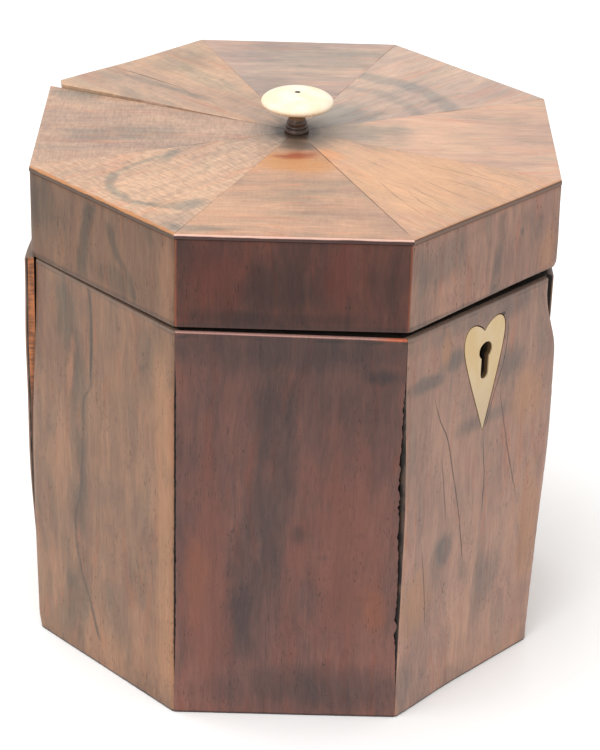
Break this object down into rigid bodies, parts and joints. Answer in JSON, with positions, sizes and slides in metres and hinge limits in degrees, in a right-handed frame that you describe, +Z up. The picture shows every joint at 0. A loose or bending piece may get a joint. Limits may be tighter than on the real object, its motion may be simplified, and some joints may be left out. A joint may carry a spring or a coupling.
{
  "type": "tea caddy",
  "caption": "Octagonal veneered box with a hinged lid, a turned knob on top and a heart-shaped keyhole plate, foil lined for holding loose tea.",
  "frame": {"origin": "middle of the underside, where the octagon's axis meets the surface it stands on", "axes": "+Z up, -Y out of the keyhole side, hinges on the +Y side"},
  "size_m": [0.12, 0.1232, 0.134],
  "materials": {
    "veneer_red": "satin",
    "veneer_tan": "satin",
    "veneer_rosy": "satin",
    "veneer_top": "satin",
    "carcass": "matte",
    "bone": "satin",
    "stem_wood": "satin",
    "foil": "satin",
    "lock_brass": "satin",
    "hinge_brass": "satin",
    "iron": "satin"
  },
  "bodies": {
    "case": {"body_board_front": "carcass", "body_board_front_right": "carcass", "body_board_right": "carcass", "body_board_back_right": "carcass", "body_board_back": "carcass", "body_board_back_left": "carcass", "body_board_left": "carcass", "body_board_front_left": "carcass", "body_veneer_front": "veneer_rosy", "body_veneer_front_right": "veneer_tan", "body_veneer_right": "veneer_tan", "body_veneer_back_right": "veneer_tan", "body_veneer_back": "veneer_tan", "body_veneer_back_left": "veneer_tan", "body_veneer_left": "veneer_tan", "body_veneer_front_left": "veneer_red", "base_board": "carcass", "foil_lining": "foil", "heart_escutcheon": "bone", "lock_case": "lock_brass", "lock_spring": "iron", "lock_screw_left": "lock_brass", "lock_screw_right": "lock_brass", "hinge_left_body_leaf": "hinge_brass", "hinge_left_pin": "iron", "hinge_right_body_leaf": "hinge_brass", "hinge_right_pin": "iron"},
    "lock_bolt": {"lock_bolt": "lock_brass"},
    "lid": {"lid_board_front": "carcass", "lid_board_front_right": "carcass", "lid_board_right": "carcass", "lid_board_back_right": "carcass", "lid_board_back": "carcass", "lid_board_back_left": "carcass", "lid_board_left": "carcass", "lid_board_front_left": "carcass", "lid_veneer_front": "veneer_rosy", "lid_veneer_front_right": "veneer_tan", "lid_veneer_right": "veneer_tan", "lid_veneer_back_right": "veneer_tan", "lid_veneer_back": "veneer_tan", "lid_veneer_back_left": "veneer_tan", "lid_veneer_left": "veneer_tan", "lid_veneer_front_left": "veneer_red", "lid_top_board": "carcass", "top_veneer_front": "veneer_top", "top_veneer_front_right": "veneer_top", "top_veneer_right": "veneer_top", "top_veneer_back_right": "veneer_top", "top_veneer_back": "veneer_top", "top_veneer_back_left": "veneer_top", "top_veneer_left": "veneer_top", "top_veneer_front_left": "veneer_top", "lid_lining": "foil", "link_plate": "lock_brass", "knob_cap": "bone", "knob_stem": "stem_wood", "knob_pin": "stem_wood", "hinge_left_lid_leaf": "hinge_brass", "hinge_right_lid_leaf": "hinge_brass"}
  },
  "joints": [
    {"name": "lid_hinge", "type": "hinge", "parent": "case", "child": "lid", "pos_m": [0, 0.0617, 0.10245], "axis": [-1, 0, 0], "range_deg": [0, 100]},
    {"name": "bolt_slide", "type": "slide", "parent": "case", "child": "lock_bolt", "axis": [1, 0, 0], "range_m": [0, 0.0032]}
  ]
}
